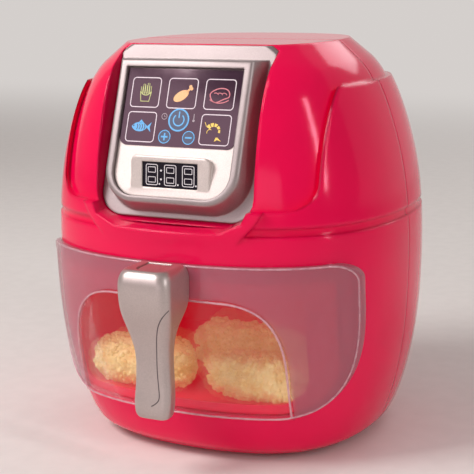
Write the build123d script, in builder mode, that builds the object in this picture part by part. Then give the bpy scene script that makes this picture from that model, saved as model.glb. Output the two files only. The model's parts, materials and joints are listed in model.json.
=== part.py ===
from build123d import *

import os
from math import cos, radians, sin

# Toy air fryer: a barrel-shaped housing in two halves, a drawer with a see-through front and
# a handle, and a sloping control panel. Millimetres, +Z up, the front faces -Y.
# The origin is on the table, below the centre of the housing.

os.makedirs("parts", exist_ok=True)

# Housing
body_width = 176.0
body_height = 192.5
depth_share = 0.905  # depth of the barrel over its width, up to the ledge
top_depth_share = 0.95  # the same at the top
fullness = 0.69  # 0.55 is an ellipse in plan, 1 is a rectangle
foot_height = 3.0  # the housing stands this far above the table
wall = 2.5
bottom_radius = 11.0
bevel_height = 9.0
plateau_half_width = 52.5
wall_top = body_height - bevel_height
# Height above the table, and how much narrower than the widest level each side is
barrel_levels = [
    (foot_height, 17.5),
    (12.0, 12.0),
    (30.0, 6.3),
    (58.0, 1.6),
    (88.0, 0.0),
    (115.0, 0.6),
    (140.0, 4.2),
    (163.0, 10.9),
    (wall_top, 22.6),
]
recess_depth = 2.5  # the upper front lies this far behind the cheeks
cheek_x, cheek_top = 66.0, 174.0
cheek_corner = 9.0
ledge_z = 122.0
ledge_corner = 11.0
groove_low, groove_high = 110.8, 114.6
groove_depth = 1.4
parting_gap = 0.1
reach = 120.0  # longer than any part of the housing

# Chin below the panel
chin_rise = 2.0
chin_inset = 0.6  # of the barrel at the chin, from its widest level
chin_low, chin_full, chin_top = 106.0, 112.0, ledge_z
chin_low_half, chin_high_half, chin_mid_half = 33.0, 46.0, 43.0
chin_mid = 117.0
chin_edge_low_half, chin_edge_mid_half, chin_edge_half = 27.0, 37.0, 40.0
chin_edge_mid, chin_edge_top = 116.0, 122.0

# Base plate, which is what the housing stands on
base_half_width, base_half_depth = 56.0, 51.0
base_rim = 6.0
base_skin = 1.0

# Screws
screw_radius = 1.4
screw_head_radius, screw_head_height = 2.8, 1.6
screw_clearance = 0.2
slot_length, slot_width, slot_depth = 3.2, 0.7, 0.8
boss_wall = 2.2

# Drawer, as it looks from the front
drawer_half_width = 81.3
drawer_low, drawer_high = 25.0, 98.0
drawer_top_radius = 9.0
drawer_side_low, drawer_flat_half = 78.0, 48.0  # where the big lower corner starts and ends
drawer_side_pull, drawer_low_pull = 45.0, 74.0  # its control points
front_thickness = 2.0
front_clearance = 0.4
pane_rise = 0.7
pane_high, pane_top_half, pane_shoulder, pane_half_width = 82.0, 26.0, 70.0, 55.6
pane_shoulder_half = 50.5
pane_side_low = 47.0
tub_half_width, tub_back, tub_back_radius = 72.0, 60.0, 44.0
tub_wall = 2.0
tub_low, tub_high = 27.5, 89.0
tub_low_radius = 24.0
tub_corner = 1.2
tub_mouth_half, tub_mouth_low, tub_mouth_high = 62.0, 32.0, 82.6
slide_clearance = 1.0
running_gap = 0.3
runner_height, runner_half_width, runner_x = 0.6, 2.0, 38.0
bay_wall = 2.0
runner_half_length = 40.0
fit_gap = 0.3

# Handle: height, half width, front and back distance from the barrel's axis, corner radius
handle_levels = [
    (28.5, 6.4, 95.6, 90.4, 2.4),
    (29.6, 8.0, 97.2, 88.8, 3.2),
    (32.5, 8.9, 97.8, 88.0, 3.6),
    (40.0, 9.2, 96.9, 87.2, 3.8),
    (50.0, 8.7, 96.2, 86.6, 3.8),
    (60.0, 8.9, 96.6, 86.6, 3.8),
    (72.0, 11.4, 99.6, 85.0, 4.2),
    (80.0, 12.9, 102.2, 79.0, 5.0),
    (89.0, 13.3, 103.2, 77.0, 5.6),
    (94.5, 12.9, 102.4, 76.6, 5.6),
    (97.1, 11.6, 100.8, 77.8, 5.2),
    (98.0, 9.6, 98.6, 79.8, 4.6),
]
seam_back = 6.0  # the seam runs this far behind the front of the handle
thumb_half_width, thumb_front, thumb_back = 6.0, 97.8, 84.0
thumb_height = 4.0
spring_wire, spring_radius, spring_turns = 0.6, 3.2, 4.0
handle_screw_x, handle_screw_z = 8.5, 86.0
handle_screw_length = 9.0
handle_screw_seat = -77.6
seam_top = 73.0
thumb_floor, thumb_fillet = 88.0, 1.2

# Control panel: u is sideways, v runs up the slope and n stands out of it
panel_lean = 20.0  # degrees back from upright
panel_low_z = 114.8
panel_floor_y = -68.2
pocket_half_width = 40.4
pocket_corner = 12.0
pocket_window_half, pocket_window_low, pocket_window_high = 31.0, 6.0, 68.0
panel_gap = 0.4
flange_thickness = 1.8
frame_half_width, frame_low, frame_high = 37.4, 2.2, 75.4
frame_top_radius, frame_low_radius = 9.0, 19.0
frame_top, frame_draft = 12.2, 16.0
frame_wall, frame_fillet = 2.2, 2.4
opening_half, opening_low, opening_high = 30.2, 8.2, 68.4
opening_low_radius, opening_high_radius = 12.0, 3.0
plate_seat = 8.8
seat_width = 3.0
plate_thickness = 1.4
plate_gap = 0.2
film_low, film_thickness = 31.2, 0.4
film_corner, film_inset = 4.0, 0.5
hood_corner, hood_fillet = 3.0, 0.8
hood_half_width, hood_low, hood_high, hood_rise = 20.2, 12.0, 26.8, 4.2
lens_half_width, lens_low, lens_high = 14.2, 12.9, 23.9
lens_lip, lens_back, lens_sink = 1.6, 7.6, 0.5
key_places = {"power": (0.0, 44.2, 5.0), "plus": (-6.2, 36.2, 2.6), "minus": (6.2, 36.2, 2.6)}
key_clearance = 0.3
key_travel = 0.5
key_collar = 1.0
key_collar_height = 0.8
key_stem_radius = 1.4
board_depth, board_thickness = 4.0, 1.6
board_half_width, board_low, board_high = 29.0, 9.0, 65.0
post_radius = 3.0
board_post_x, board_post_low, board_post_high = 25.5, 12.0, 61.0
bezel_screw_x, bezel_screw_low, bezel_screw_high = 33.6, 20.0, 58.0
bezel_screw_length = 6.0
switch_half, switch_height = 3.0, 3.4
switch_button_radius, switch_button_height = 1.5, 0.6
light_radius, light_height = 1.5, 5.0
light_places = [(-19.1, 56.5), (0.0, 56.5), (19.1, 56.5), (-19.1, 40.3), (19.1, 40.3)]
digit_half_width, digit_low, digit_high = 13.0, 13.2, 23.6
digit_gap = 0.4

# Speaker, on the floor of the rear half
speaker_y, speaker_radius, speaker_height = 28.0, 14.0, 5.0
speaker_clamp_height, speaker_clamp_rim = 1.6, 2.5
speaker_post_x, speaker_post_radius = 18.6, 2.8
grille_hole_radius, grille_rings = 1.1, 3
grille_pitch = 3.4
speaker_screw_depth = 4.0
speaker_rim_height = 2.0

# Battery box, in the back
cell_radius, cell_length, cell_pitch, cell_count = 7.1, 50.0, 15.2, 3
cell_nub_radius, cell_nub_length = 2.4, 1.0
box_centre_z, box_floor_y, box_wall = 142.0, 45.5, 1.6
cell_clearance = 0.4
contact_thickness, contact_space = 0.5, 2.2
contact_width, contact_height = 10.65, 13.2
collar_end = 60.0
door_half_width, door_half_height, door_corner = 33.0, 25.0, 4.0
door_gap = 0.3
door_rib = 2.0
door_ledge_y = 63.0
door_ledge_width = 3.2
door_screw_z, door_screw_seat = 162.5, 67.0

# Power switch, in the back
switch_z, switch_pad_half, switch_pad_y = 101.0, 9.0, 75.4
slider_half_width, slider_half_height, slider_travel = 2.4, 1.9, 4.0
slider_end = 81.6
slider_stem = 1.0
switch_body_half_width, switch_body_half_height, switch_body_depth = 9.0, 4.5, 7.0

wire_radius = 0.8
lead_y = 68.4

body_half_width = body_width / 2


def section(height, half_width, half_depth):
    """One level of the barrel: four equal curves that meet above the X and Y axes."""
    with BuildSketch(Plane.XY.offset(height)) as level:
        with BuildLine():
            for x, y in ((1, 1), (-1, 1), (-1, -1), (1, -1)):
                Bezier(
                    (x * half_width, 0),
                    (x * half_width, y * half_depth * fullness),
                    (x * half_width * fullness, y * half_depth),
                    (0, y * half_depth),
                )
        make_face()
    return level.sketch


def barrel_section(height, half_width, outset):
    """A level of the barrel, whose depth follows from its width, grown by outset."""
    rise = max(0.0, (height - ledge_z) / (body_height - ledge_z))
    share = depth_share + (top_depth_share - depth_share) * rise
    return section(height, half_width + outset, half_width * share + outset)


def barrel(outset):
    """The barrel at the level of the cheeks, grown sideways by outset."""
    with BuildPart() as body:
        loft([barrel_section(height, body_half_width - inset, outset) for height, inset in barrel_levels])
    return body.part


def domed(outset):
    """The barrel behind the cheeks, with its bevelled top, grown by outset."""
    start = barrel_section(wall_top, body_half_width - barrel_levels[-1][1], outset - recess_depth)
    end = barrel_section(body_height + min(0.0, outset), plateau_half_width, outset / 2)
    with BuildPart() as body:
        add(barrel(outset - recess_depth))
        loft([start, end], ruled=True)
    return body.part


def slab(low, high):
    """All the space between two heights."""
    with BuildPart() as space:
        with BuildSketch(Plane.XY.offset(low)):
            Rectangle(2 * reach, 2 * reach)
        extrude(amount=high - low)
    return space.part


def front_prism(points, front, back):
    """A closed outline as it looks from the front, cut through from one depth to another."""
    with BuildPart() as space:
        with BuildSketch(Plane.XZ.offset(-front)):
            with BuildLine():
                Polyline(*points, close=True)
            make_face()
        extrude(amount=front - back)
    return space.part


def save(piece, name):
    """Label a finished piece and write it."""
    piece.part.label = name
    export_step(piece.part, f"parts/{name}.step")


# Planes of the control panel: one lies on the pocket's floor, one cuts it lengthwise
lean = radians(panel_lean)
panel = Plane(
    origin=(0, panel_floor_y, panel_low_z), x_dir=(1, 0, 0), z_dir=(0, -cos(lean), sin(lean))
)
panel_side = Plane(origin=panel.origin, x_dir=panel.y_dir, z_dir=(1, 0, 0))


def panel_block(half_width, low, high, back, front, low_corner=0.0, high_corner=0.0):
    """A block on the panel, with rounded lower and upper corners."""
    with BuildPart() as block:
        with BuildSketch(panel.offset(back)) as outline:
            with Locations((0, (low + high) / 2)):
                Rectangle(2 * half_width, high - low)
            ends = outline.vertices().group_by(Axis.Y)
            if low_corner:
                fillet(ends[0], low_corner)
            if high_corner:
                fillet(ends[-1], high_corner)
        extrude(amount=front - back)
    return block.part


# What stands proud: everything below the ledge, the cheeks, and the back
with BuildPart() as proud_space:
    with BuildSketch(Plane.XZ) as cheeks:
        with Locations((0, ledge_z / 2)):
            Rectangle(2 * reach, ledge_z)
        with Locations((-(reach + cheek_x) / 2, cheek_top / 2), ((reach + cheek_x) / 2, cheek_top / 2)):
            Rectangle(reach - cheek_x, cheek_top)
        steps = cheeks.vertices().filter_by_position(Axis.X, -cheek_x - 1, cheek_x + 1).group_by(Axis.Y)
        fillet(steps[0], ledge_corner)
        fillet(steps[-1], cheek_corner)
    extrude(amount=reach)
    with BuildSketch(Plane.XZ):
        with Locations((0, cheek_top / 2)):
            Rectangle(2 * reach, cheek_top)
    extrude(amount=-reach)

# Chin: a band that swells out of the barrel, cut to its outline
with BuildPart() as chin:
    chin_rings = ((chin_low, 0.0), (chin_full, chin_rise), (chin_top, chin_rise))
    loft([barrel_section(z, body_half_width - chin_inset, rise) for z, rise in chin_rings], ruled=True)
    chin_points = [
        (-chin_low_half, chin_low),
        (-chin_mid_half, chin_mid),
        (-chin_high_half, chin_top),
        (chin_high_half, chin_top),
        (chin_mid_half, chin_mid),
        (chin_low_half, chin_low),
    ]
    add(front_prism(chin_points, -reach, panel_floor_y), mode=Mode.INTERSECT)

# The chin's upper face slopes down from the panel to the chin's edge
chin_front_y = -body_half_width * depth_share - chin_rise
chin_slope = (panel_low_z - chin_full) / (panel_floor_y - chin_front_y)
scoop_lead = 6.0
with BuildPart() as scoop:
    with BuildSketch(Plane.XZ.offset(scoop_lead - chin_front_y)):
        with BuildLine():
            Polyline(
                (-chin_edge_half, body_height),
                (-chin_edge_half, chin_edge_top - scoop_lead * chin_slope),
                (-chin_edge_mid_half, chin_edge_mid - scoop_lead * chin_slope),
                (-chin_edge_low_half, chin_full - scoop_lead * chin_slope),
                (chin_edge_low_half, chin_full - scoop_lead * chin_slope),
                (chin_edge_mid_half, chin_edge_mid - scoop_lead * chin_slope),
                (chin_edge_half, chin_edge_top - scoop_lead * chin_slope),
                (chin_edge_half, body_height),
                close=True,
            )
        make_face()
    extrude(amount=panel_floor_y - chin_front_y + scoop_lead, dir=(0, 1, chin_slope))

pocket = panel_block(pocket_half_width, 0, reach, 0, reach, pocket_corner)
pocket_tray = panel_block(
    pocket_half_width + wall, -wall, reach, -wall, reach, pocket_corner + wall
)
pocket_window = panel_block(
    pocket_window_half, pocket_window_low, pocket_window_high, -2 * wall, wall, pocket_corner
)

# Groove round the sides and the back, which stops at the chin
with BuildPart() as groove:
    add(barrel(1.0))
    add(barrel(-groove_depth), mode=Mode.SUBTRACT)
    add(slab(groove_low, groove_high), mode=Mode.INTERSECT)
    add(front_prism(chin_points, -reach, 0), mode=Mode.SUBTRACT)

# The whole housing as one solid body, before it is hollowed and parted
with BuildPart() as hull:
    add(barrel(0))
    fillet(hull.edges().group_by(Axis.Z)[0], bottom_radius)
    add(proud_space.part, mode=Mode.INTERSECT)
    add(domed(0))
    add(chin.part)
    add(groove.part, mode=Mode.SUBTRACT)

# The hollow inside the housing
hollow_low = foot_height + wall
with BuildPart() as hollow:
    add(barrel(-wall))
    add(slab(hollow_low, groove_low - wall), mode=Mode.INTERSECT)
    add(domed(-wall))
    add(slab(hollow_low, body_height), mode=Mode.INTERSECT)

# Long posts that the two halves are screwed together through
post_places = [(-50.0, 17.0), (50.0, 17.0), (-57.0, 150.0), (57.0, 150.0)]
front_post_radius = screw_radius + boss_wall
tube_radius = screw_head_radius + screw_clearance + boss_wall
web = 2.0  # what the screw heads bear on
post_screw_depth = 12.0


def along_y(places, radius, front, back):
    """Equal round bars parallel to Y at places seen from the front, from one depth to another."""
    with BuildPart() as bars:
        with BuildSketch(Plane.XZ.offset(-front)):
            with Locations(*places):
                Circle(radius)
        extrude(amount=front - back)
    return bars.part


# Mouth of the drawer bay
mouth_low = tub_low - running_gap - runner_height
mouth_high = tub_high + slide_clearance


def upright_box(half_width, low, high, front, back, corner):
    """A box between two depths, with rounded corners as it looks from the front."""
    with BuildPart() as box:
        with BuildSketch(Plane.XZ.offset(-front)) as outline:
            with Locations((0, (low + high) / 2)):
                Rectangle(2 * half_width, high - low)
            if corner:
                fillet(outline.vertices(), corner)
        extrude(amount=front - back)
    return box.part




def drawer_box(grow, low, high, front, back):
    """The drawer's outline as it looks from the front, grown sideways, between two depths."""
    with BuildPart() as box:
        with BuildSketch(Plane.XZ.offset(-front)) as outline:
            with Locations((0, (low + high) / 2)):
                Rectangle(2 * (tub_half_width + grow), high - low)
            fillet(outline.vertices().group_by(Axis.Y)[0], tub_low_radius + grow)
            fillet(outline.vertices().group_by(Axis.Y)[-1], tub_corner)
        extrude(amount=front - back)
    return box.part


mouth = drawer_box(slide_clearance, mouth_low, mouth_high, -reach, 0)

# Battery door opening and its collar
door_low, door_high = box_centre_z - door_half_height, box_centre_z + door_half_height
collar_half_width = door_half_width + box_wall
collar_half_height = door_half_height + box_wall
ledge_half_width = door_half_width - door_ledge_width
ledge_half_height = door_half_height - 1.2
collar = upright_box(
    collar_half_width,
    box_centre_z - collar_half_height,
    box_centre_z + collar_half_height,
    collar_end,
    reach,
    door_corner,
)
door_hole = upright_box(door_half_width, door_low, door_high, door_ledge_y, reach, door_corner)
ledge_hole = upright_box(
    ledge_half_width,
    box_centre_z - ledge_half_height,
    box_centre_z + ledge_half_height,
    0,
    reach,
    1.0,
)

# Power switch opening and its pad
switch_pad = upright_box(
    switch_pad_half + 1,
    switch_z - switch_pad_half / 2,
    switch_z + switch_pad_half / 2,
    switch_pad_y,
    reach,
    1.0,
)
slot_half_width = slider_half_width + slider_travel / 2 + key_clearance
slot_half_height = slider_half_height + key_clearance
slider_slot = upright_box(
    slot_half_width, switch_z - slot_half_height, switch_z + slot_half_height, 0, reach, 0.5
)

# Base plate and its screws
base_screw_places = [(-36.0, -30.0), (36.0, -30.0), (-36.0, 34.0), (36.0, 34.0)]
base_boss_top, base_screw_top = 13.0, 11.0
base_head_seat = 2.1


def upright_bars(places, radius, low, high):
    """Equal round bars that stand upright at places seen from above."""
    with BuildPart() as bars:
        with BuildSketch(Plane.XY.offset(low)):
            with Locations(*places):
                Circle(radius)
        extrude(amount=high - low)
    return bars.part


front_base_places = [place for place in base_screw_places if place[1] < 0]
rear_base_places = [place for place in base_screw_places if place[1] > 0]
speaker_post_places = [(-speaker_post_x, speaker_y), (speaker_post_x, speaker_y)]
speaker_seat = hollow_low
clamp_z = speaker_seat + speaker_height
grille_places = [(0.0, speaker_y)] + [
    (
        ring * grille_pitch * cos(radians(60 / ring * step)),
        speaker_y + ring * grille_pitch * sin(radians(60 / ring * step)),
    )
    for ring in range(1, grille_rings + 1)
    for step in range(6 * ring)
]
bezel_screw_places = [
    (side, height)
    for side in (-bezel_screw_x, bezel_screw_x)
    for height in (bezel_screw_low, bezel_screw_high)
]
board_post_places = [
    (side, height)
    for side in (-board_post_x, board_post_x)
    for height in (board_post_low, board_post_high)
]


def panel_bars(places, radius, back, front):
    """Equal round bars square to the panel, at places on it."""
    with BuildPart() as bars:
        with BuildSketch(panel.offset(back)):
            with Locations(*places):
                Circle(radius)
        extrude(amount=front - back)
    return bars.part


# Front half
with BuildPart() as front_fittings:
    add(pocket_tray)
    add(along_y(post_places, front_post_radius, -reach, -parting_gap / 2))
    add(upright_bars(front_base_places, front_post_radius, foot_height, base_boss_top))
    add(hull.part, mode=Mode.INTERSECT)
with BuildPart() as front_shell:
    add(hull.part)
    add(hollow.part, mode=Mode.SUBTRACT)
    split(bisect_by=Plane.XZ.offset(parting_gap / 2), keep=Keep.TOP)
    add(front_fittings.part)
    add(pocket, mode=Mode.SUBTRACT)
    add(pocket_window, mode=Mode.SUBTRACT)
    add(scoop.part, mode=Mode.SUBTRACT)
    add(mouth, mode=Mode.SUBTRACT)
    add(along_y(post_places, screw_radius, -post_screw_depth, 1.0), mode=Mode.SUBTRACT)
    add(panel_bars(bezel_screw_places, screw_radius + screw_clearance, -2 * wall, wall), mode=Mode.SUBTRACT)
    add(upright_bars(front_base_places, screw_radius, 0, base_screw_top), mode=Mode.SUBTRACT)
save(front_shell, "front_shell")

# Rear half
with BuildPart() as rear_fittings:
    add(along_y(post_places, tube_radius, parting_gap / 2, reach))
    add(upright_bars(rear_base_places, front_post_radius, foot_height, base_boss_top))
    add(upright_bars(speaker_post_places, speaker_post_radius, foot_height, clamp_z))
    add(collar)
    add(switch_pad)
    add(hull.part, mode=Mode.INTERSECT)
with BuildPart() as rear_shell:
    add(hull.part)
    add(hollow.part, mode=Mode.SUBTRACT)
    split(bisect_by=Plane.XZ.offset(-parting_gap / 2), keep=Keep.BOTTOM)
    add(rear_fittings.part)
    add(door_hole, mode=Mode.SUBTRACT)
    add(ledge_hole, mode=Mode.SUBTRACT)
    add(slider_slot, mode=Mode.SUBTRACT)
    add(along_y(post_places, screw_radius + screw_clearance, 0, web + 1), mode=Mode.SUBTRACT)
    add(along_y(post_places, screw_head_radius + screw_clearance, web, reach), mode=Mode.SUBTRACT)
    add(upright_bars(rear_base_places, screw_radius, 0, base_screw_top), mode=Mode.SUBTRACT)
    add(upright_bars(grille_places, grille_hole_radius, 0, 2 * hollow_low), mode=Mode.SUBTRACT)
    add(
        upright_bars(speaker_post_places, screw_radius, clamp_z - speaker_screw_depth, clamp_z + 1),
        mode=Mode.SUBTRACT,
    )
save(rear_shell, "rear_shell")


def screws(places, plane, length):
    """Pan-head screws whose shanks point along the plane's normal from its surface."""
    with BuildPart() as group:
        with BuildSketch(plane):
            with Locations(*places):
                Circle(screw_radius)
        extrude(amount=length)
        with BuildSketch(plane):
            with Locations(*places):
                Circle(screw_head_radius)
        extrude(amount=-screw_head_height)
        rims = group.edges().filter_by(GeomType.CIRCLE).group_by(SortBy.RADIUS)[-1]
        fillet(rims.sort_by(Axis(plane.origin, plane.z_dir))[: len(places)], screw_head_height / 2)
        with BuildSketch(plane.offset(-screw_head_height)):
            with Locations(*places):
                Rectangle(slot_length, slot_width)
                Rectangle(slot_width, slot_length)
        extrude(amount=slot_depth, mode=Mode.SUBTRACT)
    return group


shell_screws = screws(
    post_places,
    Plane.XZ.offset(-web),
    web + post_screw_depth,
)
save(shell_screws, "shell_screws")

# Base plate: a thin plate with a deep rim that stands on the table
with BuildPart() as base_plate:
    loft([section(0, base_half_width - 1, base_half_depth - 1), section(1, base_half_width, base_half_depth)])
    add(section(1, base_half_width, base_half_depth))
    extrude(amount=foot_height - 1)
    add(section(0, base_half_width - base_rim, base_half_depth - base_rim))
    extrude(amount=foot_height - base_skin, mode=Mode.SUBTRACT)
    well_radius = screw_head_radius + screw_clearance
    boss_low = foot_height - 2 * base_skin
    add(upright_bars(base_screw_places, screw_head_radius + boss_wall, boss_low, foot_height))
    add(upright_bars(base_screw_places, well_radius, 0, base_head_seat), mode=Mode.SUBTRACT)
    add(upright_bars(base_screw_places, screw_radius + screw_clearance, 0, foot_height), mode=Mode.SUBTRACT)
    add(upright_bars(grille_places, grille_hole_radius, 0, foot_height), mode=Mode.SUBTRACT)
save(base_plate, "base_plate")
base_screws = screws(base_screw_places, Plane.XY.offset(base_head_seat), base_screw_top - base_head_seat)
save(base_screws, "base_screws")

# Drawer bay: the liner that the drawer runs in

def tub_outline(grow):
    """The drawer's outline from above, grown all round, running out past the front."""
    half_width = tub_half_width + grow
    back = tub_back + grow
    with BuildSketch() as outline:
        with Locations((0, (back - reach) / 2)):
            Rectangle(2 * half_width, back + reach)
        fillet(outline.vertices().group_by(Axis.Y)[-1], tub_back_radius + grow)
    return outline.sketch


def tub_block(grow, low, high, front_outset):
    """A block with the drawer's outline between two heights, whose front follows the barrel."""
    with BuildPart() as block:
        with BuildSketch(Plane.XY.offset(low)):
            add(tub_outline(grow))
        extrude(amount=high - low)
        add(drawer_box(grow, low, high + tub_corner, -reach, reach), mode=Mode.INTERSECT)
        add(barrel(front_outset), mode=Mode.INTERSECT)
    return block.part


with BuildPart() as drawer_bay:
    add(tub_block(slide_clearance + bay_wall, mouth_low - bay_wall, mouth_high + bay_wall, -wall - fit_gap))
    add(tub_block(slide_clearance, mouth_low, mouth_high, 1.0), mode=Mode.SUBTRACT)
    with BuildSketch(Plane.XY.offset(mouth_low)):
        with Locations((-runner_x, 0), (runner_x, 0)):
            Rectangle(2 * runner_half_width, 2 * runner_half_length)
    extrude(amount=runner_height)
save(drawer_bay, "drawer_bay")

# Control panel
plate_front = plate_seat + plate_thickness


def opening_block(shrink, low, high, back, front):
    """A block that follows the frame's opening, smaller all round by shrink."""
    low_corner = opening_low_radius if low == opening_low else film_corner
    return panel_block(
        opening_half - shrink, low + shrink, high - shrink, back, front, low_corner, opening_high_radius
    )


def frame_block(shrink, height):
    """The frame's outline with its draft, smaller all round by shrink."""
    with BuildPart() as block:
        with BuildSketch(panel) as outline:
            with Locations((0, (frame_low + frame_high) / 2)):
                Rectangle(2 * (frame_half_width - shrink), frame_high - frame_low - 2 * shrink)
            ends = outline.vertices().group_by(Axis.Y)
            fillet(ends[0], frame_low_radius - shrink)
            fillet(ends[-1], frame_top_radius - shrink)
        extrude(amount=height, taper=frame_draft)
    return block.part


with BuildPart() as frame_hollow:
    add(frame_block(frame_wall, plate_seat - frame_wall))
    add(opening_block(seat_width + frame_wall, opening_low, opening_high, -1, frame_top), mode=Mode.SUBTRACT)
    add(panel_bars(bezel_screw_places, post_radius, -1, frame_top), mode=Mode.SUBTRACT)
    add(panel_bars(board_post_places, post_radius, -1, frame_top), mode=Mode.SUBTRACT)
with BuildPart() as bezel_frame:
    add(frame_block(0.0, frame_top))
    fillet(bezel_frame.faces().sort_by(Axis(panel.origin, panel.z_dir))[-1].edges(), frame_fillet)
    add(
        opening_block(0, opening_low, opening_high, plate_seat, 2 * frame_top),
        mode=Mode.SUBTRACT,
    )
with BuildPart() as panel_bezel:
    add(panel_block(pocket_half_width - panel_gap, panel_gap, reach, 0, flange_thickness, pocket_corner))
    add(domed(-panel_gap), mode=Mode.INTERSECT)
    add(bezel_frame.part)
    add(frame_hollow.part, mode=Mode.SUBTRACT)
    add(opening_block(seat_width, opening_low, opening_high, -1, 2 * frame_top), mode=Mode.SUBTRACT)
    add(panel_bars(board_post_places, post_radius, -board_depth, plate_seat))
    post_hole_end = bezel_screw_length - board_depth
    add(panel_bars(board_post_places, screw_radius, -board_depth - 1, post_hole_end), mode=Mode.SUBTRACT)
    add(panel_bars(bezel_screw_places, screw_radius, -1, bezel_screw_length - wall), mode=Mode.SUBTRACT)
save(panel_bezel, "panel_bezel")

with BuildPart() as hood_space:
    with BuildSketch(panel_side.offset(-hood_half_width)):
        with BuildLine():
            Polyline(
                (hood_low, plate_seat),
                (hood_low, plate_front),
                (hood_high, plate_front + hood_rise),
                (hood_high, plate_seat),
                close=True,
            )
        make_face()
    extrude(amount=2 * hood_half_width)
    tops = hood_space.edges().filter_by(lambda e: abs(e.length - hood_rise - plate_thickness) < 0.01)
    fillet(tops, hood_corner)
    fillet(hood_space.faces().sort_by(Axis(panel.origin, panel.z_dir))[-1].edges(), hood_fillet)
lens_space = panel_block(
    lens_half_width + plate_gap / 2, lens_low - plate_gap / 2, lens_high + plate_gap / 2, 0, reach, 0.8, 0.8
)
with BuildPart() as display_plate:
    add(opening_block(plate_gap, opening_low, opening_high, plate_seat, plate_front))
    add(hood_space.part)
    add(lens_space, mode=Mode.SUBTRACT)
    for key_u, key_v, key_radius in key_places.values():
        add(
            panel_bars([(key_u, key_v)], key_radius + key_clearance, 0, reach),
            mode=Mode.SUBTRACT,
        )
save(display_plate, "display_plate")

with BuildPart() as control_film:
    add(opening_block(film_inset, film_low, opening_high, plate_front, plate_front + film_thickness))
save(control_film, "control_film")

with BuildPart() as display_lens:
    add(hood_space.part.moved(Location(-panel.z_dir * lens_sink)))
    add(panel_block(lens_half_width, lens_low, lens_high, 0, reach, 0.7, 0.7), mode=Mode.INTERSECT)
    add(
        panel_block(
            lens_half_width + lens_lip,
            lens_low - lens_lip,
            lens_high + lens_lip,
            lens_back,
            plate_seat,
            1.0,
            1.0,
        )
    )
save(display_lens, "display_lens")

# Keys under the film, which press the small switches on the board
button_top = -board_depth + switch_height + switch_button_height
for key_name, (key_u, key_v, key_radius) in key_places.items():
    spot = [(key_u, key_v)]
    collar_top = plate_seat - key_clearance
    with BuildPart() as key:
        add(panel_bars(spot, key_radius, collar_top - 0.1, plate_front - key_clearance))
        add(panel_bars(spot, key_radius + key_collar, collar_top - key_collar_height, collar_top))
        add(panel_bars(spot, key_stem_radius, button_top + key_travel + key_clearance, collar_top))
    save(key, f"{key_name}_key")

with BuildPart() as tact_switches:
    with BuildSketch(panel.offset(-board_depth)):
        for key_u, key_v, key_radius in key_places.values():
            with Locations((key_u, key_v)):
                Rectangle(2 * switch_half, 2 * switch_half)
    extrude(amount=switch_height)
    key_spots = [(u, v) for u, v, radius in key_places.values()]
    add(panel_bars(key_spots, switch_button_radius, -board_depth, button_top))
save(tact_switches, "tact_switches")

with BuildPart() as circuit_board:
    board_back_depth = -board_depth - board_thickness
    add(panel_block(board_half_width, board_low, board_high, board_back_depth, -board_depth, 1.0, 1.0))
    board_hole_radius = screw_radius + screw_clearance
    add(panel_bars(board_post_places, board_hole_radius, -2 * board_depth, 0), mode=Mode.SUBTRACT)
save(circuit_board, "circuit_board")

with BuildPart() as digit_display:
    add(panel_block(digit_half_width, digit_low, digit_high, -board_depth, lens_back - digit_gap))
save(digit_display, "digit_display")

with BuildPart() as icon_leds:
    add(panel_bars(light_places, light_radius, -board_depth, -board_depth + light_height))
    light_ends = icon_leds.faces().filter_by(GeomType.PLANE)
    fillet(light_ends.sort_by(Axis(panel.origin, panel.z_dir))[-1].edges(), 0.4)
save(icon_leds, "icon_leds")

board_back = panel.offset(-board_depth - board_thickness)
bezel_screw_seat = panel.offset(-wall)
panel_screws = screws(board_post_places, board_back, board_thickness + bezel_screw_length - 0.5)
bezel_screws = screws(bezel_screw_places, bezel_screw_seat, bezel_screw_length - 0.5)
with panel_screws:
    add(bezel_screws.part)
save(panel_screws, "panel_screws")

# Speaker and its clamp
with BuildPart() as speaker:
    with BuildSketch(Plane.XY.offset(speaker_seat)):
        with Locations((0, speaker_y)):
            Circle(speaker_radius)
    extrude(amount=speaker_rim_height)
    with BuildSketch(Plane.XY.offset(speaker_seat + speaker_rim_height)):
        with Locations((0, speaker_y)):
            Circle(speaker_radius - speaker_clamp_rim - 1)
    extrude(amount=speaker_height - speaker_rim_height + 1.5, taper=12)
save(speaker, "speaker")
with BuildPart() as speaker_clamp:
    with BuildSketch(Plane.XY.offset(speaker_seat + speaker_rim_height)):
        with Locations((0, speaker_y)):
            Circle(speaker_radius)
            Circle(speaker_radius - speaker_clamp_rim, mode=Mode.SUBTRACT)
    extrude(amount=speaker_height - speaker_rim_height + speaker_clamp_height)
    with BuildSketch(Plane.XY.offset(clamp_z)) as lugs:
        with Locations((0, speaker_y)):
            SlotCenterToCenter(2 * speaker_post_x, 2 * speaker_post_radius)
            Circle(speaker_radius - 1, mode=Mode.SUBTRACT)
        with Locations(*speaker_post_places):
            Circle(screw_radius + screw_clearance, mode=Mode.SUBTRACT)
    extrude(amount=speaker_clamp_height)
save(speaker_clamp, "speaker_clamp")
clamp_screw_seat = Plane(
    origin=(0, 0, clamp_z + speaker_clamp_height), x_dir=(1, 0, 0), z_dir=(0, 0, -1)
)
speaker_screws = screws(
    [(x, -y) for x, y in speaker_post_places],
    clamp_screw_seat,
    speaker_clamp_height + speaker_screw_depth - 0.5,
)
save(speaker_screws, "speaker_screws")

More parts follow.
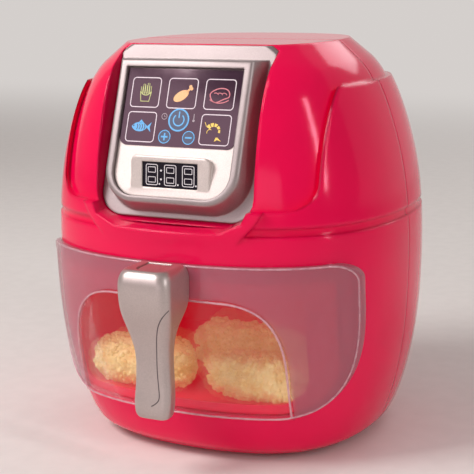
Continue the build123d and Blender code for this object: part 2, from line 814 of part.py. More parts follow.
# Battery box behind the collar, with its cells and contacts
cell_heights = [box_centre_z + cell_pitch * (step - (cell_count - 1) / 2) for step in range(cell_count)]
cells_y = box_floor_y + box_wall + cell_clearance + cell_radius
box_inner_half = cell_length / 2 + contact_space
box_inner_height = cell_count * cell_pitch / 2
box_low, box_high = box_centre_z - box_inner_height, box_centre_z + box_inner_height
with BuildPart() as battery_box:
    add(
        upright_box(
            box_inner_half + box_wall,
            box_low - box_wall,
            box_high + box_wall,
            box_floor_y,
            collar_end,
            1.0,
        )
    )
    add(
        upright_box(
            collar_half_width, box_centre_z - collar_half_height, box_centre_z + collar_half_height,
            collar_end - box_wall, collar_end, 1.0,
        )
    )
    box_inside = upright_box(box_inner_half, box_low, box_high, box_floor_y + box_wall, reach, 0.6)
    add(box_inside, mode=Mode.SUBTRACT)
save(battery_box, "battery_box")
with BuildPart() as battery_cells:
    for step, height in enumerate(cell_heights):
        facing = 1 if step % 2 else -1
        middle = Plane(origin=(0, cells_y, height), z_dir=(facing, 0, 0))
        with BuildSketch(middle.offset(-cell_length / 2)):
            Circle(cell_radius)
        extrude(amount=cell_length - cell_nub_length)
        with BuildSketch(middle.offset(cell_length / 2 - cell_nub_length)):
            Circle(cell_nub_radius)
        extrude(amount=cell_nub_length)
save(battery_cells, "battery_cells")
with BuildPart() as battery_contacts:
    for side in (-1, 1):
        plate_x = side * (box_inner_half - contact_thickness / 2)
        for height in cell_heights:
            with Locations((plate_x, cells_y, height)):
                Box(contact_thickness, contact_width, contact_height)
            nub_x = side * (cell_length / 2 + (contact_space - contact_thickness) / 2)
            with Locations((nub_x, cells_y, height)):
                Cylinder(cell_nub_radius, contact_space - contact_thickness, rotation=(0, 90, 0))
save(battery_contacts, "battery_contacts")

# Battery door: a piece of the housing's own skin, with a rim that stands on the ledge
with BuildPart() as door_hollow:
    add(barrel(-wall))
    add(
        upright_box(
            door_half_width - door_gap - door_rib,
            door_low + door_gap + door_rib,
            door_high - door_gap - door_rib,
            0,
            reach,
            1.0,
        ),
        mode=Mode.INTERSECT,
    )
    add(along_y([(0, door_screw_z)], screw_head_radius + boss_wall, 0, reach), mode=Mode.SUBTRACT)
with BuildPart() as battery_door:
    add(
        upright_box(
            door_half_width - door_gap,
            door_low + door_gap,
            door_high - door_gap,
            door_ledge_y + fit_gap,
            reach,
            door_corner - door_gap,
        )
    )
    add(barrel(0), mode=Mode.INTERSECT)
    add(door_hollow.part, mode=Mode.SUBTRACT)
    add(along_y([(0, door_screw_z)], screw_radius + screw_clearance, 0, reach), mode=Mode.SUBTRACT)
    add(
        along_y([(0, door_screw_z)], screw_head_radius + screw_clearance, door_screw_seat, reach),
        mode=Mode.SUBTRACT,
    )
save(battery_door, "battery_door")
battery_door_screw = screws(
    [(0, door_screw_z)],
    Plane.XZ.offset(-door_screw_seat),
    door_screw_seat - door_ledge_y - fit_gap,
)
save(battery_door_screw, "battery_door_screw")

# Power switch
with BuildPart() as power_switch_body:
    add(
        upright_box(
            switch_body_half_width, switch_z - switch_body_half_height, switch_z + switch_body_half_height,
            switch_pad_y - switch_body_depth, switch_pad_y, 0.8,
        )
    )
    add(
        upright_box(
            slider_stem + slider_travel / 2 + key_clearance, switch_z - slider_stem - key_clearance,
            switch_z + slider_stem + key_clearance, switch_pad_y - switch_body_depth / 2, reach, 0.0,
        ),
        mode=Mode.SUBTRACT,
    )
save(power_switch_body, "power_switch_body")
slider_rest = -slider_travel / 2
with BuildPart() as power_switch_slider:
    with Locations((slider_rest, (slider_end + switch_pad_y + key_clearance) / 2, switch_z)):
        Box(2 * slider_half_width, slider_end - switch_pad_y - key_clearance, 2 * slider_half_height)
    fillet(power_switch_slider.faces().sort_by(Axis.Y)[-1].edges(), 0.5)
    for step in (-1, 0, 1):
        with Locations((slider_rest + step * 1.2, slider_end, switch_z)):
            Box(0.5, 0.6, 2 * slider_half_height - 1.2, mode=Mode.SUBTRACT)
    stem_end = switch_pad_y - switch_body_depth / 2 + key_clearance
    with Locations((slider_rest, (stem_end + switch_pad_y + 1) / 2, switch_z)):
        Box(2 * slider_stem, switch_pad_y + 1 - stem_end, 2 * slider_stem)
save(power_switch_slider, "power_switch_slider")

# Drawer: the see-through front, with its raised window
def drawer_face(front_outset, back_outset):
    """A skin of the drawer's outline that lies between two outsets of the barrel."""
    with BuildPart() as skin:
        with BuildSketch(Plane.XZ):
            with BuildLine():
                for side in (-1, 1):
                    Line((0, drawer_high), (side * (drawer_half_width - drawer_top_radius), drawer_high))
                    RadiusArc(
                        (side * (drawer_half_width - drawer_top_radius), drawer_high),
                        (side * drawer_half_width, drawer_high - drawer_top_radius),
                        side * drawer_top_radius,
                    )
                    Line(
                        (side * drawer_half_width, drawer_high - drawer_top_radius),
                        (side * drawer_half_width, drawer_side_low),
                    )
                    Bezier(
                        (side * drawer_half_width, drawer_side_low),
                        (side * drawer_half_width, drawer_side_pull),
                        (side * drawer_low_pull, drawer_low),
                        (side * drawer_flat_half, drawer_low),
                    )
                    Line((side * drawer_flat_half, drawer_low), (0, drawer_low))
            make_face()
        extrude(amount=reach)
        add(barrel(front_outset), mode=Mode.INTERSECT)
        add(barrel(back_outset), mode=Mode.SUBTRACT)
    return skin.part


with BuildPart() as pane:
    with BuildSketch(Plane.XZ):
        with BuildLine():
            for side in (-1, 1):
                Line((0, pane_high), (side * pane_top_half, pane_high))
                Bezier(
                    (side * pane_top_half, pane_high),
                    (side * (pane_shoulder_half - 4), pane_high),
                    (side * pane_half_width, pane_shoulder),
                    (side * pane_half_width, pane_side_low),
                )
                Line((side * pane_half_width, pane_side_low), (side * pane_half_width, drawer_low))
                Line((side * pane_half_width, drawer_low), (0, drawer_low))
        make_face()
    extrude(amount=reach)
    add(barrel(front_clearance + front_thickness + pane_rise), mode=Mode.INTERSECT)
    add(barrel(front_clearance + front_thickness / 2), mode=Mode.SUBTRACT)

with BuildPart() as drawer_front:
    add(drawer_face(front_clearance + front_thickness, front_clearance))
    add(pane.part)
    for side in (-handle_screw_x, handle_screw_x):
        add(along_y([(side, handle_screw_z)], screw_radius + screw_clearance, -reach, 0), mode=Mode.SUBTRACT)
save(drawer_front, "drawer_front")

# Drawer basket: open at the top, with a front wall that frames the window
with BuildPart() as drawer_basket:
    add(tub_block(0, tub_low, tub_high, front_clearance - 0.1))
    tub_inside = tub_block(-tub_wall, tub_low + tub_wall, tub_high + 1, front_clearance - tub_wall)
    tub_mouth = drawer_box(tub_mouth_half - tub_half_width, tub_mouth_low, tub_mouth_high, -reach, 0)
    add(tub_inside, mode=Mode.SUBTRACT)
    add(tub_mouth, mode=Mode.SUBTRACT)
    add(
        along_y(
            [(-handle_screw_x, handle_screw_z), (handle_screw_x, handle_screw_z)],
            screw_radius + screw_clearance,
            -reach,
            0,
        ),
        mode=Mode.SUBTRACT,
    )
save(drawer_basket, "drawer_basket")

# Handle: lofted whole, then parted along a seam that follows its front
with BuildPart() as handle_form:
    levels = []
    for height, half_width, front, back, corner in handle_levels:
        with BuildSketch(Plane.XY.offset(height)) as level:
            with Locations((0, -(front + back) / 2)):
                RectangleRounded(2 * half_width, front - back, corner)
        levels.append(level.sketch)
    loft(levels)

thumb_rest = handle_levels[-1][0] - 0.3


def thumb_block(grow, low, high):
    """The thumb button's outline from above, round at its front, between two heights."""
    with BuildPart() as block:
        with BuildSketch(Plane.XY.offset(low)) as outline:
            with Locations((0, -(thumb_front + thumb_back) / 2)):
                Rectangle(2 * (thumb_half_width + grow), thumb_front - thumb_back + 2 * grow)
            fillet(outline.vertices().group_by(Axis.Y)[0], thumb_half_width + grow - 0.5)
        extrude(amount=high - low)
    return block.part


stem_levels = [level for level in handle_levels if level[0] < seam_top]
with BuildPart() as seam_space:
    with BuildSketch(Plane.YZ.offset(-reach)):
        with BuildLine():
            seam_points = [(seam_back - front, height) for height, half, front, back, corner in stem_levels]
            seam_low = (seam_points[0][0] - 1, seam_points[0][1] - 5)
            Spline(seam_low, *seam_points)
            Polyline(
                seam_points[-1],
                (-body_half_width * depth_share, seam_top),
                (0, seam_top),
                (0, 0),
                (seam_low[0], 0),
                seam_low,
            )
        make_face()
    extrude(amount=2 * reach)

with BuildPart() as handle_whole:
    add(handle_form.part)
    add(barrel(front_clearance + front_thickness + 0.05), mode=Mode.SUBTRACT)
    add(pane.part, mode=Mode.SUBTRACT)
with BuildPart() as handle_front:
    add(handle_whole.part)
    add(seam_space.part, mode=Mode.SUBTRACT)
    add(thumb_block(fit_gap, thumb_floor, reach), mode=Mode.SUBTRACT)
    add(
        along_y(
            [(-handle_screw_x, handle_screw_z), (handle_screw_x, handle_screw_z)], screw_radius,
            handle_screw_seat - handle_screw_length - 1, 0,
        ),
        mode=Mode.SUBTRACT,
    )
save(handle_front, "handle_front")
with BuildPart() as handle_rear:
    add(handle_whole.part)
    add(seam_space.part, mode=Mode.INTERSECT)
save(handle_rear, "handle_rear")
with BuildPart() as handle_button:
    add(thumb_block(0, thumb_rest - thumb_height, thumb_rest))
    fillet(handle_button.faces().sort_by(Axis.Z)[-1].edges(), thumb_fillet)
save(handle_button, "handle_button")
spring_height = thumb_rest - thumb_height - thumb_floor - 2 * spring_wire
with BuildPart() as button_spring:
    with BuildLine(Plane(origin=(0, -(thumb_front + thumb_back) / 2, thumb_floor + spring_wire))) as coil:
        Helix(spring_height / spring_turns, spring_height, spring_radius)
    with BuildSketch(Plane(coil.edges()[0] @ 0, z_dir=coil.edges()[0] % 0)):
        Circle(spring_wire / 2)
    sweep(path=coil.edges()[0], is_frenet=True)
save(button_spring, "button_spring")
handle_screws = screws(
    [(-handle_screw_x, handle_screw_z), (handle_screw_x, handle_screw_z)],
    Plane.XZ.offset(-handle_screw_seat),
    handle_screw_length,
)
save(handle_screws, "handle_screws")

# Play food: three lumps that lie on the basket's floor
food_floor = tub_low + tub_wall
food_pieces = {
    "left": ((-27.0, -54.0, food_floor + 10.5), (26.0, 14.0, 12.0), 8.0),
    "middle": ((15.0, -24.0, food_floor + 12.5), (29.0, 11.5, 13.5), -6.0),
    "right": ((35.0, -52.0, food_floor + 9.5), (27.0, 13.0, 11.0), 10.0),
}
for food_name, (centre, radii, turn) in food_pieces.items():
    with BuildPart() as food:
        Sphere(1.0)
        scale(by=radii)
    placed = Location(centre, (0, 0, turn)) * food.part
    with BuildPart() as food:
        add(placed)
        add(slab(food_floor, reach), mode=Mode.INTERSECT)
    save(food, f"play_food_{food_name}")


# Leads: two wires side by side along each route, held all the way
def leads(points, spread):
    """Two equal wires through the same points, side by side along X."""
    with BuildPart() as pair:
        for side in (-spread, spread):
            with BuildLine() as route:
                Spline(*[(x + side, y, z) for x, y, z in points])
            with BuildSketch(Plane(route.line @ 0, z_dir=route.line % 0)):
                Circle(wire_radius)
            sweep(path=route.line)
    return pair


board_end = panel.offset(-board_depth - board_thickness - wire_radius)
battery_leads = leads(
    [
        (0, box_floor_y - wire_radius / 2, box_centre_z),
        (0, box_floor_y - 20, box_centre_z - 4),
        (0, -10, box_centre_z + 4),
        tuple(board_end.from_local_coords((0, 30.0, 0))),
    ],
    3.0,
)
save(battery_leads, "battery_leads")
speaker_leads = leads(
    [
        (14.0, speaker_y + 6, clamp_z + 3),
        (14.0, 56.0, 15.0),
        (14.0, lead_y, 30.0),
        (14.0, lead_y, 60.0),
        (14.0, lead_y, 88.0),
        (14.0, 58.0, 101.0),
        (14.0, 10.0, 106.0),
        tuple(board_end.from_local_coords((14.0, 14.0, 0))),
    ],
    1.2,
)
save(speaker_leads, "speaker_leads")
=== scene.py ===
import json
from math import cos, hypot, pi, radians, sin

import bmesh
import bpy
from mathutils import Matrix, Vector, noise
from mathutils.bvhtree import BVHTree

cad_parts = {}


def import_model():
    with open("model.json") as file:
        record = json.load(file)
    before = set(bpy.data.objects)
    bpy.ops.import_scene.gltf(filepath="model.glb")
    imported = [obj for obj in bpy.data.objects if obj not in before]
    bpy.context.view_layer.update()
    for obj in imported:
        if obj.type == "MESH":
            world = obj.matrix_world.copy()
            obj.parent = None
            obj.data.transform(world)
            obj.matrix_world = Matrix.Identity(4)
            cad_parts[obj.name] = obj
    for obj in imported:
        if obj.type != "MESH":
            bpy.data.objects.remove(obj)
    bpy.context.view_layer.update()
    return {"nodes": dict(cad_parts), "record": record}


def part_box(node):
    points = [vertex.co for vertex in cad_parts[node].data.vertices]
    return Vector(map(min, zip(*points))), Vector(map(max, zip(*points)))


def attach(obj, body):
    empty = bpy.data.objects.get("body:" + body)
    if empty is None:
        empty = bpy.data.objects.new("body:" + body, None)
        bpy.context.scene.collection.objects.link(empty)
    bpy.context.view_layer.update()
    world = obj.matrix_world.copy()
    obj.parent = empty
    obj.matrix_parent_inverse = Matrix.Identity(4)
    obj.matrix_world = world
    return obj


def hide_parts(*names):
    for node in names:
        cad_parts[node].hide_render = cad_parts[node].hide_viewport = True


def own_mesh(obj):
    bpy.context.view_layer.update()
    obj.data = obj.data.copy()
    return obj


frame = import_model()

# Toy air fryer in metres, Z up, its front towards -Y
MM = 0.001

# Control panel: u is sideways, v runs up the slope and n stands out of it
PANEL_LEAN = radians(20)
PANEL_ORIGIN = Vector((0, -68.2, 114.8)) * MM
FILM_FACE = 10.6
PRINT_LIFT = 0.06
HOOD_LOW, HOOD_HIGH, LENS_SINK = (12.0, 10.2), (26.8, 14.4), 0.5

# Printed squares, keys and figures on the panel
SQUARE_HALF, SQUARE_CORNER = (7.4, 6.9), 1.6
COLUMNS, TOP_ROW, LOW_ROW = 19.1, 56.5, 40.3
OUTLINE, SIGN_LINE, POWER_LINE = 0.42, 0.75, 0.62
POWER_AT, PLUS_AT, MINUS_AT = (0.0, 44.2), (-6.2, 36.2), (6.2, 36.2)
POWER_RING, SIGN_RING, SIGN_HALF, SIGN_GAP = 5.0, 2.95, 1.7, 0.37
DIGIT_HALF, DIGIT_TALL, DIGIT_LOW, STROKE = 2.95, 9.0, 2.2, 1.05
DIGIT_MIDDLES, COLON_HEIGHTS = (-9.3, 0.2, 9.4), (4.7, 8.7)

# Drawer window and front, as they look from the front
PANE_HIGH, PANE_TOP_HALF, PANE_SHOULDER = 82.0, 26.0, 70.0
PANE_HALF, PANE_SIDE_LOW, PANE_PULL = 55.6, 47.0, 46.5
PANE_ROUNDNESS = 2.3
FRONT_HALF, FRONT_LOW, FRONT_HIGH, FRONT_CORNER = 81.3, 25.0, 98.0, 9.0
FRONT_SIDE_LOW, FRONT_FLAT_HALF, FRONT_SIDE_PULL, FRONT_LOW_PULL = 78.0, 48.0, 45.0, 74.0
EDGE_INSET, PANE_BEAD, FRONT_BEAD, RIM_STEP = 0.7, 0.55, 0.5, 6

# The line along the handle's right side, and the bead that draws it
HANDLE_SEAM = [(12.6, 81.4), (9.2, 77.1), (6.5, 72.3), (4.7, 65.6), (3.9, 58.6), (3.7, 51.6)]
HANDLE_SEAM += [(4.3, 44.8), (4.9, 40.2), (4.6, 38.2), (3.1, 36.6), (1.0, 35.3)]
SEAM_BEAD, SEAM_SINK, BEAD_SIDES, RAY_START, CORNER_CUTS = 0.3, 0.14, 10, -200.0, 3

# Merged copies: how near doubles lie, what stays a crisp edge, and how round edges seem
WELD_DISTANCE, SHARP_EDGE = 2e-6, radians(32)
SHELL_ROUNDING, METAL_ROUNDING = 2.4 * MM, 1.2 * MM

# Play food: crumbs, and how often and how far each noise swells a lump
CRUMB_RADIUS, CRUMBS_PER_AREA, SMALLEST_CRUMB, LARGEST_CRUMB = 1.35 * MM, 1.7e5, 0.35, 1.1
LUMPS, KNOBS = ((1.7, 0.12), (4.2, 0.06)), ((10.0, 0.028), (24.0, 0.010))
LUMP_SIZE, LUMP_SQUARENESS = 0.98, 0.10

WHITE = (1, 1, 1, 1)
PALETTE = {
    "pink": (0.84, 0.0008, 0.070, 1),
    "pink_cast": (1, 0.50, 0.64, 1),
    "deep_red": (0.80, 0.008, 0.055, 1),
    "silver": (0.40, 0.335, 0.335, 1),
    "light_silver": (0.76, 0.665, 0.63, 1),
    # The frame's silver painted lighter for the handle, as painted light
    "handle_silver_painted_lighter": (0.56, 0.475, 0.455, 1),
    "film": (0.030, 0.010, 0.026, 1),
    "film_cast": (1, 0.66, 0.78, 1),
    "lens": (0.012, 0.009, 0.016, 1),
    "clear": (0.95, 0.86, 0.88, 1),
    "milk": (0.58, 0.16, 0.25, 1),
    # Pale pinks of the beads that paint highlight lines on the drawer front's rims
    "rim": (0.85, 0.52, 0.58, 1),
    "rim_dim": (0.70, 0.34, 0.42, 1),
    "food": (0.80, 0.50, 0.17, 1),
    "food_pale": (0.92, 0.70, 0.34, 1),
    "steel": (0.55, 0.55, 0.54, 1),
    "board": (0.02, 0.18, 0.07, 1),
    "black": (0.02, 0.02, 0.022, 1),
    "white": (0.80, 0.79, 0.77, 1),
    "wire": (0.5, 0.01, 0.01, 1),
    "seam": (0.10, 0.075, 0.08, 1),
    "sleeve": (0.04, 0.13, 0.09, 1),
    "print_white": (0.80, 0.70, 0.76, 1),
    "print_sky": (0.10, 0.42, 0.80, 1),
    "print_night": (0.035, 0.05, 0.12, 1),
    "print_peach": (0.90, 0.47, 0.20, 1),
    "print_yellow": (0.90, 0.62, 0.10, 1),
    "print_green": (0.55, 0.58, 0.20, 1),
    "print_rose": (0.62, 0.16, 0.20, 1),
    "print_grey": (0.36, 0.29, 0.33, 1),
    "digit": (0.75, 0.70, 0.74, 1),
    "floor": (0.80, 0.77, 0.75, 1),
    "paper": (0.66, 0.625, 0.605, 1),
}


def darker(colour, share):
    """The colour times share, still opaque."""
    return tuple(share * part for part in colour[:3]) + (1,)


class Sock:
    """A node's output that takes part in plain arithmetic."""

    def __init__(self, owner, socket):
        self.owner, self.socket = owner, socket

    def _math(self, operation, *values):
        return self.owner.node("ShaderNodeMath", {"operation": operation}, dict(enumerate(values)))

    def __add__(self, other):
        return self._math("ADD", self, other)

    def __radd__(self, other):
        return self._math("ADD", other, self)

    def __sub__(self, other):
        return self._math("SUBTRACT", self, other)

    def __rsub__(self, other):
        return self._math("SUBTRACT", other, self)

    def __mul__(self, other):
        return self._math("MULTIPLY", self, other)

    def __rmul__(self, other):
        return self._math("MULTIPLY", other, self)

    def smooth(self, low, high):
        """0 below low, 1 above high, and a smooth step between."""
        span = {"From Min": low, "From Max": high}
        return self.owner.node(
            "ShaderNodeMapRange", {"interpolation_type": "SMOOTHSTEP"}, {"Value": self, **span}
        )

    def at_least(self, other):
        return self._math("MAXIMUM", self, other)

    def at_most(self, other):
        return self._math("MINIMUM", self, other)

    def power(self, other):
        return self._math("POWER", self, other)

    def size(self):
        return self._math("ABSOLUTE", self)


class Nodes:
    """A node tree that is built one node at a time."""

    def node(self, kind, settings=None, inputs=None, out=0):
        made = self.tree.nodes.new(kind)
        for key, value in (settings or {}).items():
            setattr(made, key, value)
        for key, value in (inputs or {}).items():
            for given in value if isinstance(value, list) else [value]:
                if isinstance(given, Sock):
                    self.tree.links.new(given.socket, made.inputs[key])
                else:
                    made.inputs[key].default_value = given
        return Sock(self, made.outputs[out]) if made.outputs else None


class Shaper(Nodes):
    """A Geometry Nodes tree with named inputs."""

    def __init__(self, name, sizes):
        self.tree = bpy.data.node_groups.new(name, "GeometryNodeTree")
        shape = ("Geometry", "NodeSocketGeometry")
        self.tree.interface.new_socket(shape[0], in_out="INPUT", socket_type=shape[1])
        self.tree.interface.new_socket(shape[0], in_out="OUTPUT", socket_type=shape[1])
        for label, kind in sizes.items():
            self.tree.interface.new_socket(label, in_out="INPUT", socket_type=kind)
        self.inlet = self.tree.nodes.new("NodeGroupInput")

    def given(self, label):
        return Sock(self, self.inlet.outputs[label])

    def finish(self, shape, material):
        real = self.node("GeometryNodeRealizeInstances", None, {"Geometry": shape})
        done = self.node("GeometryNodeSetMaterial", None, {"Geometry": real, "Material": material})
        self.node("NodeGroupOutput", None, {"Geometry": done})

    def run(self, name, mesh, values):
        """The plain mesh that the tree makes of a mesh, with these input values."""
        holder = bpy.data.objects.new(name, mesh)
        bpy.context.scene.collection.objects.link(holder)
        modifier = holder.modifiers.new(name, "NODES")
        modifier.node_group = self.tree
        for item in self.tree.interface.items_tree:
            if item.in_out == "INPUT" and item.name in values:
                modifier[item.identifier] = values[item.name]
        graph = bpy.context.evaluated_depsgraph_get()
        made = bpy.data.meshes.new_from_object(holder.evaluated_get(graph))
        made.name = name
        holder.modifiers.clear()
        bpy.data.objects.remove(holder)
        return made


class Paint(Nodes):
    """One material and its nodes."""

    def __init__(self, name):
        self.material = bpy.data.materials.new(name)
        self.material.use_nodes = True
        self.tree = self.material.node_tree
        self.tree.nodes.clear()

    def place(self):
        return self.node("ShaderNodeTexCoord", out="Object")

    def noise(self, size, detail=3.0, roughness=0.5):
        """Noise whose grains are about size metres across."""
        inputs = {"Vector": self.place(), "Scale": 1 / size, "Detail": detail, "Roughness": roughness}
        return self.node("ShaderNodeTexNoise", None, inputs)

    def mix(self, factor, a, b):
        """Colour a where factor is 0, and b where it is 1."""
        return self.node("ShaderNodeMix", {"data_type": "RGBA"}, {0: factor, 6: a, 7: b}, out=2)

    def bump(self, height, strength, distance, rounding=0.0):
        """A rough surface, whose edges also look rounded where rounding is over 0."""
        inputs = {"Height": height, "Strength": strength, "Distance": distance}
        if rounding:
            inputs["Normal"] = self.node("ShaderNodeBevel", {"samples": 6}, {"Radius": rounding})
        return self.node("ShaderNodeBump", None, inputs)

    def surface(self, **inputs):
        named = {key.replace("_", " "): value for key, value in inputs.items()}
        return self.node("ShaderNodeBsdfPrincipled", None, named)

    def finish(self, shader):
        self.node("ShaderNodeOutputMaterial", None, {"Surface": shader})
        return self.material


def moulded(name, colour, roughness, coat, wave, painted_glow=0.0, sheen=0.15, rounding=0.0, cast=WHITE):
    """Glossy moulded plastic with the faint ripple and scuffs that moulding leaves.

    glow is painted light: the plastic emits its own colour in place of light coming through
    where it is thin. sheen is the strength of its reflections, cast their colour and rounding
    the radius that its edges seem to have.
    """
    paint = Paint(name)
    blotch = paint.noise(0.035, 2)
    scuff = paint.noise(0.004, 6, 0.7)
    ripple = paint.noise(0.012, 1)
    return paint.finish(
        paint.surface(
            Base_Color=paint.mix(blotch.smooth(0.35, 0.75), colour, darker(colour, 0.95)),
            Roughness=roughness + 0.07 * scuff,
            Specular_IOR_Level=sheen,
            Specular_Tint=cast,
            Coat_Weight=coat,
            Coat_Roughness=0.03,
            # Painted light: the plastic emits its own colour, standing in for light through thin plastic
            Emission_Color=colour,
            Emission_Strength=painted_glow,
            Normal=paint.bump(ripple, wave, 0.0006, rounding),
        )
    )


def metallic_paint(name, colour, roughness, metallic=0.8):
    """Silver paint on plastic: fine bright flakes under a satin lacquer."""
    paint = Paint(name)
    flake = paint.noise(0.0005, 2, 0.6)
    cloud = paint.noise(0.02, 3)
    dark = darker(colour, 0.82)
    return paint.finish(
        paint.surface(
            Base_Color=paint.mix((0.6 * flake + 0.4 * cloud).smooth(0.3, 0.7), dark, colour),
            Metallic=metallic,
            Roughness=roughness + 0.10 * flake,
            Coat_Weight=0.25,
            Coat_Roughness=0.2,
            Normal=paint.bump(flake, 0.08, 0.0002, METAL_ROUNDING),
        )
    )


def plain(name, colour, roughness=0.45, metallic=0.0, grain=0.0015):
    """A small part's finish: a fine grain in its colour, gloss and surface."""
    paint = Paint(name)
    speck = paint.noise(grain, 4, 0.6)
    dark = darker(colour, 0.8)
    return paint.finish(
        paint.surface(
            Base_Color=paint.mix(speck.smooth(0.35, 0.65), dark, colour),
            Roughness=roughness + 0.12 * speck,
            Metallic=metallic,
            Normal=paint.bump(speck, 0.1, 0.0002),
        )
    )


def see_through():
    """The drawer's front: clear where the raised window is, milky and frosted round it."""
    paint = Paint("smoky_front")
    axes = paint.place()
    side = paint.node("ShaderNodeSeparateXYZ", None, {"Vector": axes}, out=0)
    height = paint.node("ShaderNodeSeparateXYZ", None, {"Vector": axes}, out=2)
    # The window's shoulders follow a rounded corner between its flat top and its straight sides
    wide = (side.size() - PANE_TOP_HALF * MM) * (1 / ((PANE_HALF - PANE_TOP_HALF) * MM))
    tall = (height - PANE_SIDE_LOW * MM) * (1 / ((PANE_HIGH - PANE_SIDE_LOW) * MM))
    reach = wide.at_least(0.0).power(PANE_ROUNDNESS) + tall.at_least(0.0).power(PANE_ROUNDNESS)
    frosted = reach.smooth(0.97, 1.03)
    scuff = paint.noise(0.006, 5, 0.7)
    gloss = {"IOR": 1.2, "Coat_Weight": 1.0, "Coat_Roughness": 0.04, "Coat_IOR": 1.8}
    clear = paint.surface(
        Base_Color=PALETTE["clear"],
        Roughness=0.02 + 0.03 * scuff,
        Alpha=0.22,
        Transmission_Weight=1.0,
        **gloss,
    )
    milk = paint.surface(
        Base_Color=PALETTE["milk"],
        Roughness=0.34 + 0.06 * scuff,
        Alpha=0.60,
        Transmission_Weight=0.5,
        Normal=paint.bump(paint.noise(0.0012, 2), 0.08, 0.0002),
        **gloss,
    )
    return paint.finish(paint.node("ShaderNodeMixShader", None, {0: frosted, 1: clear, 2: milk}))


def painted_rim_highlight():
    """The rounded rims of the see-through front: pale beads whose colour paints the highlight lines that
    the rims catch.
    """
    paint = Paint("rim_painted_highlight")
    scuff = paint.noise(0.003, 3)
    return paint.finish(
        paint.surface(
            Base_Color=paint.mix(scuff.smooth(0.3, 0.7), PALETTE["rim"], PALETTE["rim_dim"]),
            Roughness=0.10 + 0.08 * scuff,
            Alpha=0.55,
            Coat_Weight=1.0,
            Coat_Roughness=0.04,
        )
    )


def crumbs():
    """Soft play food: pale yellow with browner hollows between its crumbs, lit up by its own painted light.
    """
    paint = Paint("crumbed_food")
    lump = paint.noise(0.006, 5, 0.6)
    fine = paint.noise(0.0012, 3)
    pale = (0.7 * lump + 0.3 * fine).smooth(0.35, 0.62)
    return paint.finish(
        paint.surface(
            Base_Color=paint.mix(pale, PALETTE["food"], PALETTE["food_pale"]),
            Roughness=0.42 + 0.15 * fine,
            # Painted light: the food emits its pale colour to lighten it where the see-through front shades
            # it
            Emission_Color=PALETTE["food_pale"],
            Emission_Strength=0.10,
            Subsurface_Weight=0.25,
            Subsurface_Radius=(0.004, 0.0025, 0.0015),
            Subsurface_Scale=1.0,
            Normal=paint.bump(fine, 0.35, 0.0006),
        )
    )


def ink(name, colour):
    """Printed ink under the film's gloss, which emits a little of its own colour as painted light."""
    paint = Paint(name)
    grain = paint.noise(0.0004, 2)
    dark = darker(colour, 0.85)
    return paint.finish(
        paint.surface(
            Base_Color=paint.mix(grain.smooth(0.4, 0.6), dark, colour),
            Roughness=0.3 + 0.1 * grain,
            # Painted light: the ink emits its own colour
            Emission_Color=colour,
            Emission_Strength=0.12,
        )
    )


finishes = {
    "shell_pink": moulded(
        "glossy_pink",
        PALETTE["pink"],
        roughness=0.09,
        coat=0.0,
        wave=0.03,
        sheen=0.42,
        rounding=SHELL_ROUNDING,
        cast=PALETTE["pink_cast"],
    ),
    # The drawer bay's red emits a little of its colour, painted light in place of light through its thin
    # walls
    "bay_red": moulded("dark_red", PALETTE["deep_red"], roughness=0.28, coat=0.2, wave=0.06, painted_glow=0.16),
    "silver": metallic_paint("satin_silver", PALETTE["silver"], 0.42),
    # A lighter copy of the frame's silver for the handle: painted light
    "handle_silver_painted_lighter": metallic_paint("handle_silver_painted_lighter", PALETTE["handle_silver_painted_lighter"], 0.36),
    "light_silver": metallic_paint("light_silver", PALETTE["light_silver"], 0.36, metallic=0.45),
    "film": moulded(
        "film_gloss",
        PALETTE["film"],
        roughness=0.05,
        coat=0.15,
        wave=0.01,
        sheen=0.62,
        cast=PALETTE["film_cast"],
    ),
    "lens": moulded("lens_gloss", PALETTE["lens"], roughness=0.10, coat=0.5, wave=0.02),
    "smoky": see_through(),
    "food": crumbs(),
    "steel": plain("zinc_steel", PALETTE["steel"], 0.3, metallic=1.0),
    "board_green": plain("board_green", PALETTE["board"]),
    "black_plastic": plain("black_plastic", PALETTE["black"], 0.5),
    "white_plastic": plain("white_plastic", PALETTE["white"], 0.4),
    "wire": plain("wire_red", PALETTE["wire"], 0.5),
    "cell": plain("cell_sleeve", PALETTE["sleeve"], 0.3),
    # The rim beads' pale colour is a painted highlight
    "rim": painted_rim_highlight(),
    "seam": plain("seam_shadow", PALETTE["seam"], 0.6),
}
inks = {name: ink(name, colour) for name, colour in PALETTE.items() if name.startswith("print")}
inks["digit"] = ink("digit_print", PALETTE["digit"])


def new_piece(name, mesh, material, body):
    """Put a finished mesh in the scene and say what it rides on."""
    piece = bpy.data.objects.new(name, mesh)
    bpy.context.scene.collection.objects.link(piece)
    mesh.materials.clear()
    mesh.materials.append(material)
    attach(piece, body)
    return piece


slot_of = {row["node"]: row["material_slot"] for row in frame["record"]["subparts"]}
body_of = {
    node: body for body, nodes in frame["record"]["behaviour"]["bodies"].items() for node in nodes
}

# The handle has the slot of the panel's frame, in a lighter copy of its silver: painted light, since its
# front catches less light than the frame
HANDLE_NODES = ("handle_front", "handle_rear", "handle_button")
finish_of = {node: finishes[slot] for node, slot in slot_of.items()}
finish_of.update({node: finishes["handle_silver_painted_lighter"] for node in HANDLE_NODES})

# CAD pieces that keep their shape get their finish
for node, holder in frame["nodes"].items():
    holder.data.materials.clear()
    holder.data.materials.append(finish_of[node])


